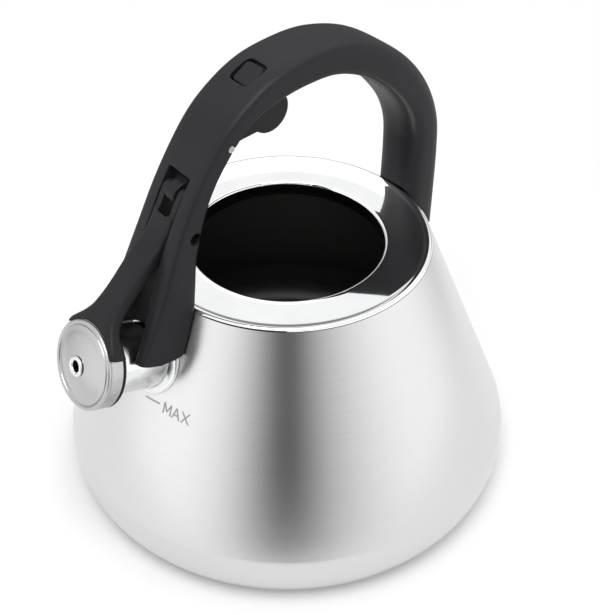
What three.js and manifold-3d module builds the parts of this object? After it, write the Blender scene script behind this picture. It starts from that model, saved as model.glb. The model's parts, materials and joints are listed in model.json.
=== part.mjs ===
// Stovetop whistling kettle: a brushed steel cone body with an open mouth, a short spout closed by a
// sprung whistling cap, and an arched plastic handle that holds the trigger linkage of the cap.
// Millimetres, +Z up, spout towards -X, handle in the XZ plane, origin at the centre of the base.
import * as THREE from "three";
import { mergeVertices } from "three/addons/utils/BufferGeometryUtils.js";
import Module from "manifold-3d";

const wasm = await Module();
wasm.setup();

// ---------------------------------------------------------------- driving dimensions

const TOUCH = 0.3; // gap between pieces that rest on each other
const RUN = 0.35; // gap round a pin, a slider or a turning boss

// body
const wall = 0.9;
const bellyR = 110;
const bellyZ = 18;
const footR = bellyR - 10.5; // where the belly rounding meets the flat foot ring
const footZ = 1.6;
const shoulderR = 66.2;
const shoulderZ = 128.2;
const bellyEase = 2.3; // how far the cone would pass outside the belly at its widest
const coneAngle = Math.atan((bellyR + bellyEase - shoulderR) / (shoulderZ - bellyZ));
const mouthR = 44.7;
const mouthDrop = 2; // the mouth's lip lies this far below the shoulder edge
const neckLength = 7;
const lipR = 1.5;
const capsuleR = footR - 5.5;
const capsuleH = 4.8;
const capsuleWall = 0.9;

// spout
const spoutTilt = THREE.MathUtils.degToRad(20.7);
const spoutRootZ = shoulderZ - 28.6; // height at which the spout's axis leaves the cone
const spoutR = 15;
const spoutWall = 1.1;
const spoutLength = 27.2; // along its axis, outside the cone
const spoutInside = 3;
const collarR = 18.5;
const collarRise = 1.6;

// whistling cap, measured along the spout's axis
const capR = 19.6;
const capWall = 0.8;
const capFront = 34.9;
const capSkirt = 7;
const capDome = 3.2;
const sealLip = 1.3;
const sealWall = 1;
const whistleHoleR = 2.5;
const eyeletR = 4.6;
const whistleCupR = 12;
const whistleChamber = 3.4;

// handle
const handleW = 28; // over the arch
const footW = 38; // over the front foot
const rearW = 27;
const pocketW = 14.2;
const skin = 2.6; // left outside the linkage slot
const bracketW = 16;
const bracketT = 1.5;
const screwR = 2;
const screwHeadR = 3.6;

// linkage
const leverPin = new THREE.Vector2(-59.4, shoulderZ + 33.4);
const linkPin = leverPin.clone().add(new THREE.Vector2(2.3, 14.6));
const triggerPin = leverPin.clone().add(new THREE.Vector2(20.3, 34.1));
const leverPinR = 1.8;
const linkPinR = 1.4;
const triggerPinR = 1.5;
const leverOpen = THREE.MathUtils.degToRad(22);
const earR = 3.5;
const earGap = 7;
const plateTop = 8.4; // top edge of the lever's front plate, above the lever pin
const armW = 6;
const armEyeR = 4.7;
const bossR = 4;
const pinBoreR = 2.8; // counterbore over each end of the lever pin
const pinBoreDeep = 4;
const noseR = 9.6; // the finger pad below the handle
const nose = triggerPin.clone().add(new THREE.Vector2(25.2, 4.5));
const triggerW = 12.6;

// lock button
const buttonL = 10.2;
const buttonW = 10.6;
const buttonT = 4.2;
const buttonTravel = 2.5;
const buttonGap = 0.8;
const buttonRearGap = 1.5;
const buttonAt = triggerPin.clone().add(new THREE.Vector2(18.9, 21.5));
const buttonTilt = THREE.MathUtils.degToRad(29); // its face slopes down towards the spout

// roundness
const BIG = 48;
const MID = 32;
const SMALL = 16;

// ---------------------------------------------------------------- materials

const steel = () => new THREE.MeshStandardMaterial({ color: 0xc9cbcc, roughness: 0.32, metalness: 1 });
const mirror = () => new THREE.MeshStandardMaterial({ color: 0xdfe1e3, roughness: 0.08, metalness: 1 });
const alu = () => new THREE.MeshStandardMaterial({ color: 0xb9bcc0, roughness: 0.45, metalness: 1 });
const plastic = () => new THREE.MeshStandardMaterial({ color: 0x2b2b2e, roughness: 0.62, metalness: 0 });
const silicone = () => new THREE.MeshStandardMaterial({ color: 0x1a1a1b, roughness: 0.7, metalness: 0 });

// ---------------------------------------------------------------- solids

// A closed geometry as a solid: shared vertices merged, triangles of no area left out.
function solid(geometry, matrix = new THREE.Matrix4()) {
  const bare = new THREE.BufferGeometry();
  bare.setAttribute("position", geometry.getAttribute("position").clone());
  if (geometry.index) bare.setIndex(geometry.index.clone());
  bare.applyMatrix4(matrix);
  const merged = mergeVertices(bare, 1e-4);
  const corners = merged.index.array;
  const kept = [];
  for (let i = 0; i < corners.length; i += 3) {
    const [a, b, c] = [corners[i], corners[i + 1], corners[i + 2]];
    if (a !== b && b !== c && c !== a) kept.push(a, b, c);
  }
  return new wasm.Manifold(
    new wasm.Mesh({
      numProp: 3,
      vertProperties: merged.attributes.position.array,
      triVerts: new Uint32Array(kept),
    }),
  );
}

function add(first, ...others) {
  return others.reduce((sum, other) => sum.add(other), first);
}

function cut(first, ...others) {
  return others.reduce((rest, other) => rest.subtract(other), first);
}

function named(name, shape, material) {
  const made = shape.getMesh();
  const geometry = new THREE.BufferGeometry();
  geometry.setAttribute("position", new THREE.BufferAttribute(made.vertProperties, 3));
  geometry.setIndex(new THREE.BufferAttribute(made.triVerts, 1));
  geometry.computeVertexNormals();
  const mesh = new THREE.Mesh(geometry, material);
  mesh.name = name;
  return mesh;
}

// Turns a (radius, height) outline, counter-clockwise, about Z.
function turned(outline, segments, matrix) {
  const points = outline.map(([r, z]) => new THREE.Vector2(r, z));
  const geometry = new THREE.LatheGeometry(points, segments);
  geometry.rotateX(Math.PI / 2);
  return solid(geometry, matrix);
}

// A ring or tube: a rectangle of radii and heights turned about Z.
function ring(innerR, outerR, low, high, segments, matrix) {
  const outline = [[innerR, low], [outerR, low], [outerR, high], [innerR, high], [innerR, low]];
  return turned(outline, segments, matrix);
}

// A disc or rod about Z.
function disc(radius, low, high, segments, matrix) {
  return turned([[0, low], [radius, low], [radius, high], [0, high]], segments, matrix);
}

// An XZ outline given thickness along Y, centred on the plane y = 0 or on another one.
function slab(shape, width, middleY = 0, curveSegments = 8) {
  const geometry = new THREE.ExtrudeGeometry(shape, { depth: width, bevelEnabled: false, curveSegments });
  geometry.rotateX(Math.PI / 2);
  geometry.translate(0, middleY + width / 2, 0);
  return solid(geometry);
}

// A rod along Y through a point of the XZ plane.
function crossRod(at, radius, width, segments = SMALL, middleY = 0) {
  const geometry = new THREE.CylinderGeometry(radius, radius, width, segments);
  geometry.translate(at.x, middleY, at.y);
  return solid(geometry);
}

// Skins rings of equal point counts and caps both ends; every ring is a list of Vector3.
function loft(rings) {
  const count = rings[0].length;
  const positions = [];
  const indices = [];
  rings.forEach((points) => points.forEach((p) => positions.push(p.x, p.y, p.z)));
  for (let k = 0; k < rings.length - 1; k++) {
    for (let i = 0; i < count; i++) {
      const a = k * count + i;
      const b = k * count + ((i + 1) % count);
      indices.push(a, b, b + count, a, b + count, a + count);
    }
  }
  const last = (rings.length - 1) * count;
  for (let i = 1; i < count - 1; i++) {
    indices.push(0, i + 1, i);
    indices.push(last, last + i, last + i + 1);
  }
  const geometry = new THREE.BufferGeometry();
  geometry.setAttribute("position", new THREE.Float32BufferAttribute(positions, 3));
  geometry.setIndex(indices);
  return solid(geometry);
}

// A bar that runs up the XZ plane between an outer and an inner line. Each station is
// [outer x, outer z, inner x, inner z, half width, squareness]; squareness is the power of its
// super-elliptic section.
function bar(stations, steps, points) {
  const outer = new THREE.SplineCurve(stations.map((s) => new THREE.Vector2(s[0], s[1])));
  const inner = new THREE.SplineCurve(stations.map((s) => new THREE.Vector2(s[2], s[3])));
  const form = new THREE.SplineCurve(stations.map((s) => new THREE.Vector2(s[4], s[5])));
  const rings = [];
  for (let k = 0; k <= steps; k++) {
    const o = outer.getPoint(k / steps);
    const n = inner.getPoint(k / steps);
    const { x: half, y: power } = form.getPoint(k / steps);
    const section = [];
    for (let i = 0; i < points; i++) {
      const turn = (2 * Math.PI * (i + 0.5)) / points;
      const across = half * bulge(Math.cos(turn), power);
      const deep = 0.5 + 0.5 * bulge(Math.sin(turn), power);
      section.push(
        new THREE.Vector3(n.x + (o.x - n.x) * deep, across, n.y + (o.y - n.y) * deep),
      );
    }
    rings.push(section);
  }
  return loft(rings);
}

function bulge(value, power) {
  return Math.sign(value) * Math.abs(value) ** (2 / power);
}

function outline(points) {
  return new THREE.Shape(points.map(([x, z]) => new THREE.Vector2(x, z)));
}

// ---------------------------------------------------------------- body

const slope = Math.tan(coneAngle);
const coneR = (z) => shoulderR + slope * (shoulderZ - z);

// Height of the belly's upper rounding, which leaves the cone as a tangent.
const bellyIn = bellyR - footR;
const bellyLow = bellyZ - footZ;
const reach = coneR(0) - footR - slope * bellyZ;
const bellyRise = Math.sqrt(reach ** 2 - bellyIn ** 2) / slope;
const tangentAt = Math.atan((slope * bellyRise) / bellyIn);

// The body's outer side from the foot ring to a height near the shoulder, grown by some distance.
function bodySide(grow, topZ) {
  const side = [];
  const lower = 5;
  const upper = 3;
  const quarter = Math.PI / 2;
  for (let i = 0; i <= lower; i++) {
    const t = -quarter + (quarter * i) / lower;
    side.push([footR + (bellyIn + grow) * Math.cos(t), bellyZ + (bellyLow + grow) * Math.sin(t)]);
  }
  for (let i = 1; i <= upper; i++) {
    const t = (tangentAt * i) / upper;
    side.push([footR + (bellyIn + grow) * Math.cos(t), bellyZ + (bellyRise + grow) * Math.sin(t)]);
  }
  side.push([coneR(topZ) + grow / Math.cos(coneAngle), topZ]);
  return side;
}

const ringDepth = wall + TOUCH;
const rootR = coneR(spoutRootZ);
const toSpout = new THREE.Matrix4()
  .makeTranslation(-rootR, 0, spoutRootZ)
  .multiply(new THREE.Matrix4().makeRotationY(spoutTilt - Math.PI / 2));

function bodyShell() {
  const top = shoulderZ - ringDepth;
  const outside = bodySide(0, top);
  const inside = bodySide(-wall, top).reverse();
  const recessR = capsuleR + 2 * TOUCH;
  const floorZ = capsuleH + TOUCH;
  const shell = turned(
    [[0, floorZ], [recessR, floorZ], [recessR, footZ], ...outside, ...inside,
      [recessR + wall, footZ + wall], [recessR + wall, floorZ + wall], [0, floorZ + wall]],
    BIG,
  );
  return cut(shell, disc(spoutR + TOUCH, -3 * spoutInside, spoutInside, MID, toSpout));
}

// Mirror-polished annulus, slightly dished, whose inner edge rolls down into a short neck.
function topRing() {
  const lipZ = shoulderZ - mouthDrop;
  const span = shoulderR - mouthR - lipR;
  const dish = (u) => shoulderZ - mouthDrop * (1 - (1 - u) ** 2);
  const top = [];
  const steps = 3;
  for (let i = 0; i <= steps; i++) top.push([shoulderR - (span * i) / steps, dish(i / steps)]);
  const under = top.map(([r, z]) => [r, z - wall]).reverse();
  under[under.length - 1][0] = coneR(shoulderZ - wall);
  const roll = [];
  const back = [];
  for (let i = 1; i <= 3; i++) {
    const t = (Math.PI / 2) * (i / 3);
    roll.push([mouthR + lipR * (1 - Math.sin(t)), lipZ - lipR * (1 - Math.cos(t))]);
    back.unshift([mouthR + lipR - (lipR - wall) * Math.sin(t), lipZ - lipR + (lipR - wall) * Math.cos(t)]);
  }
  const low = lipZ - neckLength;
  const profile = [...top, ...roll, [mouthR, low], [mouthR + wall, low], ...back, ...under];
  profile.push(profile[0]);
  return turned(profile, BIG);
}

// Steel cup under the floor that holds the heat-spreading disc.
function baseCapsule() {
  const edge = 1.2;
  return turned(
    [[0, 0], [capsuleR - edge, 0], [capsuleR, edge], [capsuleR, capsuleH],
      [capsuleR - capsuleWall, capsuleH], [capsuleR - capsuleWall, capsuleWall], [0, capsuleWall]],
    BIG,
  );
}

function heatSpreader() {
  return disc(capsuleR - capsuleWall - TOUCH, capsuleWall + TOUCH, capsuleH, BIG);
}

// The room that the body takes, grown by a gap, to cut what rests on it.
function bodyRoom(gap) {
  const side = bodySide(gap, shoulderZ);
  const high = shoulderZ + gap;
  const top = [[shoulderR, high], [mouthR, high - mouthDrop], [0, high - mouthDrop]];
  return turned([[0, footZ], ...side, ...top], BIG);
}

// ---------------------------------------------------------------- spout

function spoutTube() {
  return ring(spoutR - spoutWall, spoutR, -spoutInside, spoutLength, MID);
}

// Welded flange round the tube, shaped to the cone.
function spoutCollar() {
  const flange = turned(
    [[spoutR + TOUCH, -6], [collarR, -6], [collarR, 0.4], [spoutR + collarRise, collarRise],
      [spoutR + TOUCH, collarRise], [spoutR + TOUCH, -6]],
    MID,
    toSpout,
  );
  return cut(flange, bodyRoom(TOUCH));
}

// ---------------------------------------------------------------- cap and whistle, about the spout's axis

const capBack = capFront - capSkirt;
const capBoreR = capR - capWall;

// Domed steel shell: a skirt, a rolled rim and a shallow dome with the eyelet's hole in it.
function capShell() {
  const rim = 1.4;
  const domeR = capR - rim;
  const holeR = eyeletR - 1.2;
  const steps = 5;
  const dome = [];
  for (let i = 0; i <= steps; i++) {
    const r = domeR + ((holeR - domeR) * i) / steps;
    dome.push([r, capFront + rim * 0.6 + (capDome - rim * 0.6) * (1 - (r / domeR) ** 2)]);
  }
  const under = dome.map(([r, z]) => [Math.min(r, capBoreR), z - capWall]).reverse();
  const profile = [[capBoreR, capBack], [capR, capBack], [capR, capFront - 0.4],
    [capR - 0.5, capFront + 0.5], ...dome, ...under, [capBoreR, capBack]];
  const screw = disc(screwR * 0.6 + TOUCH, capBoreR - 2, capR + 2, SMALL, capScrewAxis);
  return cut(turned(profile, MID), screw);
}

// Silicone seal: a lip behind the skirt, a lining inside it and a face that shuts the spout.
function capSeal() {
  const liningR = capBoreR - TOUCH;
  const face = spoutLength + TOUCH;
  const boreR = liningR - sealWall;
  const waySteam = 7;
  const low = capBack - TOUCH - sealLip;
  return turned(
    [[boreR, low], [capR, low], [capR, capBack - TOUCH], [liningR, capBack - TOUCH],
      [liningR, face + sealWall], [waySteam, face + sealWall], [waySteam, face], [boreR, face], [boreR, low]],
    MID,
  );
}

// Inner cup of the whistle: a flat plate with the second hole and a rim that makes its chamber.
function whistleCup() {
  const top = capFront + capDome * 0.55;
  const floor = top - whistleChamber;
  return turned(
    [[whistleHoleR, floor], [whistleCupR, floor], [whistleCupR, top - 0.9],
      [whistleCupR - 0.6, top - 0.9], [whistleCupR - 0.6, floor + 0.6], [whistleHoleR, floor + 0.6],
      [whistleHoleR, floor]],
    MID,
  );
}

// Eyelet rolled over the hole in the dome.
function whistleEyelet() {
  const seat = capFront + capDome;
  const neckR = eyeletR - 1.2 - TOUCH;
  return turned(
    [[whistleHoleR, seat - capWall - 0.6], [neckR, seat - capWall - 0.6], [neckR, seat + TOUCH],
      [eyeletR, seat + TOUCH], [eyeletR - 0.3, seat + 0.9], [whistleHoleR + 0.6, seat + 0.9],
      [whistleHoleR, seat + TOUCH], [whistleHoleR, seat - capWall - 0.6]],
    SMALL,
  );
}

const capScrewS = capFront - 4.4; // where the cap's screw stands along the spout's axis
const capScrewAxis = new THREE.Matrix4()
  .makeTranslation(0, 0, capScrewS)
  .multiply(new THREE.Matrix4().makeRotationY(Math.PI / 2));

// ---------------------------------------------------------------- handle

// Moves a station along; raised() takes one whose heights are counted from the shoulder.
const moved = ([ox, oz, ix, iz, half, power], x, z) => [ox + x, oz + z, ix + x, iz + z, half, power];
const raised = (station) => moved(station, 0, shoulderZ);

// The handle's run from the front foot over the arch to the rear foot, as bar() takes it.
const handleStations = [
  [-98, -18.7, -66, -21.2, footW / 2, 8],
  [-87.8, -4, -63.3, -4.7, footW / 2 - 1, 8],
  [-79.8, 10.8, -61, 9.8, footW / 2 - 2.2, 7],
  [-71.2, 29.3, -57.8, 26.3, handleW / 2 + 1.2, 6],
  [-59.1, 52.1, -50.3, 47.4, handleW / 2 + 0.2, 6],
  [-44.8, 72.3, -40.1, 62.6, handleW / 2, 6],
  [-32.5, 83.1, -28.5, 73.7, handleW / 2, 6],
  [-17, 91.2, -13, 79.4, handleW / 2, 6],
  [1, 94.2, 1.8, 81.2, handleW / 2, 6],
  [18.2, 94.1, 16, 80, handleW / 2, 5],
  [36.8, 89, 30.6, 74.2, handleW / 2, 4.5],
  [51.9, 80.3, 43, 65.4, handleW / 2, 4],
  [65.3, 68.5, 53.3, 54.8, handleW / 2, 3.4],
  [76.2, 53.8, 61.3, 42.8, handleW / 2 - 0.2, 3],
  [83.5, 36.6, 65.2, 30.4, rearW / 2, 2.8],
  [86, 18.1, 65.6, 17.1, rearW / 2 - 0.4, 2.8],
  [86.6, -4.2, 65.2, -2.7, rearW / 2 - 0.5, 2.8],
  [86.6, -32.2, 64.4, -31.2, rearW / 2 - 0.4, 2.8],
].map(raised);

const outerLine = new THREE.SplineCurve(handleStations.map((s) => new THREE.Vector2(s[0], s[1])));
const innerLine = new THREE.SplineCurve(handleStations.map((s) => new THREE.Vector2(s[2], s[3])));

// A point of the handle's middle plane: how far along it, in stations, and how deep below its outer face.
function inHandle(station, depth) {
  const t = station / (handleStations.length - 1);
  const outer = outerLine.getPoint(t);
  const inward = innerLine.getPoint(t).sub(outer);
  return outer.addScaledVector(inward.normalize(), depth);
}

function thickness(station) {
  const t = station / (handleStations.length - 1);
  return outerLine.getPoint(t).distanceTo(innerLine.getPoint(t));
}

// The part of the middle plane between two stations and two depths; a depth may be a function of station.
function band(from, to, top, bottom, steps = 14) {
  const at = (depth, station) => (typeof depth === "function" ? depth(station) : depth);
  const points = [];
  for (let i = 0; i <= steps; i++) {
    const station = from + ((to - from) * i) / steps;
    points.push(inHandle(station, at(top, station)));
  }
  for (let i = steps; i >= 0; i--) {
    const station = from + ((to - from) * i) / steps;
    points.push(inHandle(station, at(bottom, station)));
  }
  return new THREE.Shape(points);
}

const below = (station) => thickness(station) + 6;

// Where the linkage slot starts, where its window ends, and where it ends behind the finger pad.
const slotFrom = 2.8;
const windowTo = 4.24;
const slotTo = 8.25;

// Screws lie along the depth of the handle, head at its inner face, or square to a cut.
function screwAxis(at, towards) {
  return new THREE.Matrix4()
    .makeTranslation(at.x, 0, at.y)
    .multiply(new THREE.Matrix4().makeRotationY(Math.atan2(towards.x, towards.y)));
}

// Countersunk screw about Z with its head's face at z = 0 and its point down.
function screwBody(shankR, headR, length, grow = 0) {
  const headH = headR * 0.55;
  return turned(
    [[0, -length - grow], [shankR + grow, -length - grow], [shankR + grow, -headH],
      [headR + grow, -headH + (headR - shankR) * 0.6], [headR + grow, grow * 4], [0, grow * 4]],
    SMALL,
  );
}

const coverFrom = 8.75;
const coverTo = 11.3;
const coverT = 2.2;
const coverW = 17;
const coverScrewR = 1.2;
const coverScrewHeadR = 2.3;
const coverScrewL = 6.5;
const coverScrewStations = [coverFrom + 0.2, coverTo - 0.2];
const coverScrewPlaces = coverScrewStations.map((station) => {
  const face = inHandle(station, thickness(station) - 0.5);
  return screwAxis(face, face.clone().sub(inHandle(station, 0)));
});
const coverSlab = (width, inset) => {
  const top = (station) => thickness(station) - coverT + inset;
  return slab(band(coverFrom + inset / 12, coverTo - inset / 12, top, below), width);
};

// Bottom of the rear leg: a slant from the shoulder's edge down to its outer tip.
const slantDrop = 29;
const slantTop = new THREE.Vector2(shoulderR - 1.2, shoulderZ + 1.1);
const slantTip = new THREE.Vector2(coneR(shoulderZ - slantDrop) + 7.5, shoulderZ - slantDrop);
const slantRun = slantTip.clone().sub(slantTop).normalize();
const slantUp = new THREE.Vector2(-slantRun.y, slantRun.x);
const slantPoint = (along, up) =>
  slantTop.clone().addScaledVector(slantRun, along).addScaledVector(slantUp, up);
const rearScrewAt = 19.5;
const rearScrewL = 7;
const rearScrewPlace = screwAxis(slantPoint(rearScrewAt, -TOUCH - bracketT - 0.4), slantUp.clone().negate());

// Front screw, square to the cone above the spout, from inside the scoop into the bracket.
const frontScrewZ = shoulderZ - 6;
const frontScrewL = 6.2;
const coneOut = new THREE.Vector2(-Math.cos(coneAngle), Math.sin(coneAngle));
const onCone = (z, out) => new THREE.Vector2(-coneR(z), z).addScaledVector(coneOut, out);
const frontScrewPlace = screwAxis(onCone(frontScrewZ, frontScrewL + 0.9), coneOut);

const placedScrew = (place, ...size) => {
  const geometry = new THREE.BufferGeometry();
  const made = screwBody(...size).getMesh();
  geometry.setAttribute("position", new THREE.BufferAttribute(made.vertProperties, 3));
  geometry.setIndex(new THREE.BufferAttribute(made.triVerts, 1));
  return solid(geometry, place);
};

// Hollow in front of the front leg in which the lever lies, widening to the foot.
const scoopStations = [
  [-107, -21.2, -88.5, -31.7, 17, 2.4],
  [-103, -13.7, -83.5, -23.7, 15.6, 2.4],
  [-95.5, 2.8, -77, -5.4, 11.8, 2.6],
  [-87.5, 16.8, -71.5, 9.6, 8.8, 3.2],
  [-77.8, 32.2, -61.8, 25.8, pocketW / 2, 5],
].map(raised);

const coverScrews = (grow) =>
  coverScrewPlaces.map((place) => placedScrew(place, coverScrewR, coverScrewHeadR, coverScrewL, grow));

const buttonPlace = new THREE.Matrix4()
  .makeTranslation(buttonAt.x, 0, buttonAt.y)
  .multiply(new THREE.Matrix4().makeRotationY(-buttonTilt));

// A block with rounded corners about local Z, between two heights.
function roundedBlock(length, width, low, high, cornerR, middleX = 0) {
  const shape = new THREE.Shape();
  const [l, w] = [length / 2, width / 2];
  const [inL, inW] = [l - cornerR, w - cornerR];
  const corners = [[inL, inW], [-inL, inW], [-inL, -inW], [inL, -inW]];
  corners.forEach(([x, y], i) => shape.absarc(x, y, cornerR, (Math.PI / 2) * i, (Math.PI / 2) * (i + 1)));
  const upright = { depth: high - low, bevelEnabled: false, curveSegments: 4 };
  const geometry = new THREE.ExtrudeGeometry(shape, upright);
  geometry.translate(middleX, 0, low);
  return solid(geometry, buttonPlace);
}

const shelfDepth = 7.4;
const shelfT = 1.2;

function handleShell() {
  const grip = bar(handleStations, 46, 22);
  const window = slab(band(slotFrom, windowTo, -5, below), pocketW);
  const slot = slab(band(windowTo, slotTo, skin, below, 20), pocketW);
  const scoop = bar(scoopStations, 10, 16);
  const hollow = slab(band(coverFrom + 0.55, coverTo - 0.55, skin + 0.4, below), coverW - 3);
  const holeL = buttonL + buttonGap + buttonRearGap;
  const holeMiddle = (buttonRearGap - buttonGap) / 2;
  const buttonHole = roundedBlock(holeL, buttonW + 2 * buttonGap, -shelfDepth, 6, 2.4, holeMiddle);
  const boreY = handleW / 2 - pinBoreDeep + 10;
  const pins = [
    crossRod(leverPin, leverPinR + TOUCH, handleW + 12),
    crossRod(triggerPin, triggerPinR + TOUCH, handleW + 2),
    crossRod(leverPin, pinBoreR, 20, SMALL, -boreY),
    crossRod(leverPin, pinBoreR, 20, SMALL, boreY),
  ];
  const overSpout = disc(spoutR + 0.8, -20, 60, MID, toSpout);
  const overCollar = disc(collarR + 0.6, -20, 2.6, MID, toSpout);
  const slantEnds = [slantPoint(-3.5, 0), slantPoint(60, 0), slantPoint(60, -60), slantPoint(-3.5, -60)];
  const underSlant = slab(new THREE.Shape(slantEnds), footW);
  const [rearIn, rearOut] = [shoulderR - 16, shoulderR - 0.2];
  const overRing = shoulderZ + 0.5;
  const deep = shoulderZ - 48;
  const besideRing = [[rearIn, deep], [rearOut, deep], [rearOut, overRing], [rearIn, overRing]];
  const underRear = slab(outline(besideRing), footW);
  const footEnd = [[-50, -18.8], [-77, -20], [-84, -19.2], [-90, -16.8], [-96, -13.7], [-110, -9.7]];
  const footPoints = [...footEnd.map(([x, z]) => [x, shoulderZ + z]), [-110, deep], [-50, deep]];
  const underFoot = slab(outline(footPoints.reverse()), 2 * footW);
  const shelf = roundedBlock(holeL + 1, pocketW + 1, -shelfDepth - shelfT, -shelfDepth, 1, holeMiddle);
  const screws = [
    placedScrew(frontScrewPlace, screwR, screwHeadR, frontScrewL, TOUCH),
    placedScrew(rearScrewPlace, screwR, screwHeadR, rearScrewL, TOUCH),
    ...coverScrews(TOUCH),
  ];
  const rooms = [bodyRoom(0.5), overSpout, overCollar, underSlant, underRear, underFoot, frontStrap(TOUCH)];
  const pockets = [window, slot, scoop, hollow, coverSlab(coverW, 0), buttonHole];
  return add(cut(grip, ...rooms, ...pockets, ...pins, ...screws), shelf);
}

// Plate that closes the hollow under the arch.
function handleCover() {
  const grip = bar(handleStations, 46, 22);
  const plate = grip.intersect(coverSlab(coverW - 2 * TOUCH, TOUCH));
  return cut(plate, ...coverScrews(TOUCH));
}

// Steel strap welded to the cone above the spout.
function frontStrap(grow) {
  const [low, high] = [frontScrewZ - 4.2 - grow, frontScrewZ + 4.2 + grow];
  const far = TOUCH + bracketT + 2 * grow;
  const strap = [onCone(low, TOUCH), onCone(high, TOUCH), onCone(high, far), onCone(low, far)];
  return slab(new THREE.Shape(strap), bracketW + 2 * grow);
}

function frontBracket() {
  const screw = placedScrew(frontScrewPlace, screwR, screwHeadR, frontScrewL, TOUCH);
  return cut(frontStrap(0), bodyRoom(TOUCH), screw);
}

// Steel bracket of the rear leg: a foot on the cone and a tab along the slant.
function rearBracket() {
  const rearOut = new THREE.Vector2(-coneOut.x, coneOut.y);
  const outside = (z, out) => new THREE.Vector2(coneR(z), z).addScaledVector(rearOut, out);
  const [low, high, footT] = [shoulderZ - 24.2, shoulderZ - 12.2, TOUCH + bracketT];
  const foot = [outside(low, 0), outside(low, footT), outside(high, footT), outside(high, 0)];
  const [near, far] = [-TOUCH, -TOUCH - bracketT];
  const tab = [slantPoint(9, near), slantPoint(25, near), slantPoint(25, far), slantPoint(9, far)];
  const whole = add(slab(new THREE.Shape(foot), bracketW), slab(new THREE.Shape(tab), bracketW));
  return cut(whole, bodyRoom(TOUCH), placedScrew(rearScrewPlace, screwR, screwHeadR, rearScrewL, TOUCH));
}

// ---------------------------------------------------------------- lever, with the cap on it

// The hood over the cap, from the spout's root, and the stem above it, from the lever pin.
const hoodStations = [
  [-28.44, 23.8, -20.24, 20.3, 18, 6],
  [-27.44, 26, -20.04, 22.8, 16.4, 6],
  [-25.84, 28.6, -19.44, 25.8, 13.8, 5],
  [-23.84, 31.4, -18.04, 28.6, 11, 4],
  [-20.44, 35.2, -15.04, 31.2, 8.4, 4],
];
const stemStations = [
  [-34.2, -22, -29.6, -26.8, 7.2, 4.5],
  [-29.2, -17.4, -24.8, -22.2, 7, 5],
  [-21.1, -9, -16.4, -14.2, 6.9, 5],
  [-11.7, -0.6, -5.1, -5.6, 6.7, 6],
  [-5.9, 8.8, 0.4, 5.4, 6.7, 6],
];
const leverStations = [
  ...hoodStations.map((station) => moved(station, -rootR, spoutRootZ)),
  ...stemStations.map((station) => moved(station, leverPin.x, leverPin.y)),
];

// An outline measured from the lever pin.
const nearPin = (points) => outline(points.map(([x, z]) => [leverPin.x + x, leverPin.y + z]));

// Side view of the two ears: round the link pin above, round the lever pin below.
function earOutline() {
  const shape = new THREE.Shape();
  shape.absarc(linkPin.x, linkPin.y, earR, 0, THREE.MathUtils.degToRad(155));
  [[-6.1, 6.5], [-9.7, 0.1], [-8.7, -5.9]].forEach(([x, z]) => shape.lineTo(leverPin.x + x, leverPin.y + z));
  shape.absarc(leverPin.x, leverPin.y, bossR, THREE.MathUtils.degToRad(245), Math.PI * 2);
  return shape;
}

function spoutLever() {
  const ears = slab(earOutline(), 13.4);
  const stem = bar(leverStations, 16, 16);
  const [far, high] = [33, 30];
  const under = [[-6.7, -3.9], [-3.7, -7.4], [17.3, -9.9], [17.3, high], [-far, high]];
  const between = slab(nearPin([[-far, plateTop], [-6.2, plateTop], ...under]), earGap);
  const overPlate = slab(nearPin([[-far, plateTop], [-4.7, plateTop], [-4.7, 15.1], [-far, high]]), earGap);
  const onSkirt = disc(capR + TOUCH, 10, 50, MID, toSpout);
  const pastRim = disc(capR + 12, capFront + 0.2, 50, MID, toSpout);
  const screwAt = new THREE.Matrix4().multiplyMatrices(toSpout, capScrewAxis);
  const screw = disc(screwR * 0.6 + TOUCH, 0, capR + 3.4, SMALL, screwAt);
  return cut(
    add(stem, ears), between, overPlate, onSkirt, pastRim, screw,
    crossRod(leverPin, leverPinR + RUN, 20), crossRod(linkPin, linkPinR + TOUCH, 20),
  );
}

// Small screw from inside the cap's skirt up into the lever's hood.
function capScrew() {
  return turned(
    [[0, capBoreR - 1.7], [screwR * 0.9, capBoreR - 1.7], [screwR * 0.9, capBoreR - 0.8],
      [screwR * 0.6, capBoreR - 0.8], [screwR * 0.6, capR + 3], [0, capR + 3]],
    SMALL,
    capScrewAxis,
  );
}

// Round wire drawn along a curve.
function drawn(curve, wire, steps, matrix) {
  const section = new THREE.Shape();
  section.absarc(0, 0, wire, 0, Math.PI * 2);
  const along = { steps, extrudePath: curve, curveSegments: 2, bevelEnabled: false };
  return solid(new THREE.ExtrudeGeometry(section, along), matrix);
}

// Torsion spring round the lever pin, with a tail down the lever and one towards the leg.
class Coil extends THREE.Curve {
  constructor(at, radius, width, turns, start, end, tails) {
    super();
    Object.assign(this, { at, radius, width, turns, start, end, tails });
  }

  getPoint(t, target = new THREE.Vector3()) {
    const share = 0.12;
    const along = Math.min(Math.max((t - share) / (1 - 2 * share), 0), 1);
    const angle = this.start + (this.end - this.start + 2 * Math.PI * this.turns) * along;
    const y = this.width * (along - 0.5);
    target.set(this.at.x + this.radius * Math.cos(angle), y, this.at.y + this.radius * Math.sin(angle));
    const over = t < share ? (t - share) / share : t > 1 - share ? (t - 1 + share) / share : 0;
    target.x += -Math.sin(angle) * over * this.tails;
    target.z += Math.cos(angle) * over * this.tails;
    return target;
  }
}

function leverSpring() {
  const wire = 0.45;
  const radius = leverPinR + 0.7 + wire;
  const [start, end] = [195, 330].map(THREE.MathUtils.degToRad);
  return drawn(new Coil(leverPin, radius, 4.4, 3, start, end, 6), wire, 54);
}

// ---------------------------------------------------------------- trigger

// Turns a point of the XZ plane about another, positive as a right-hand turn about +Y.
function swing(point, about, angle) {
  return point.clone().rotateAround(about, -angle);
}

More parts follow.
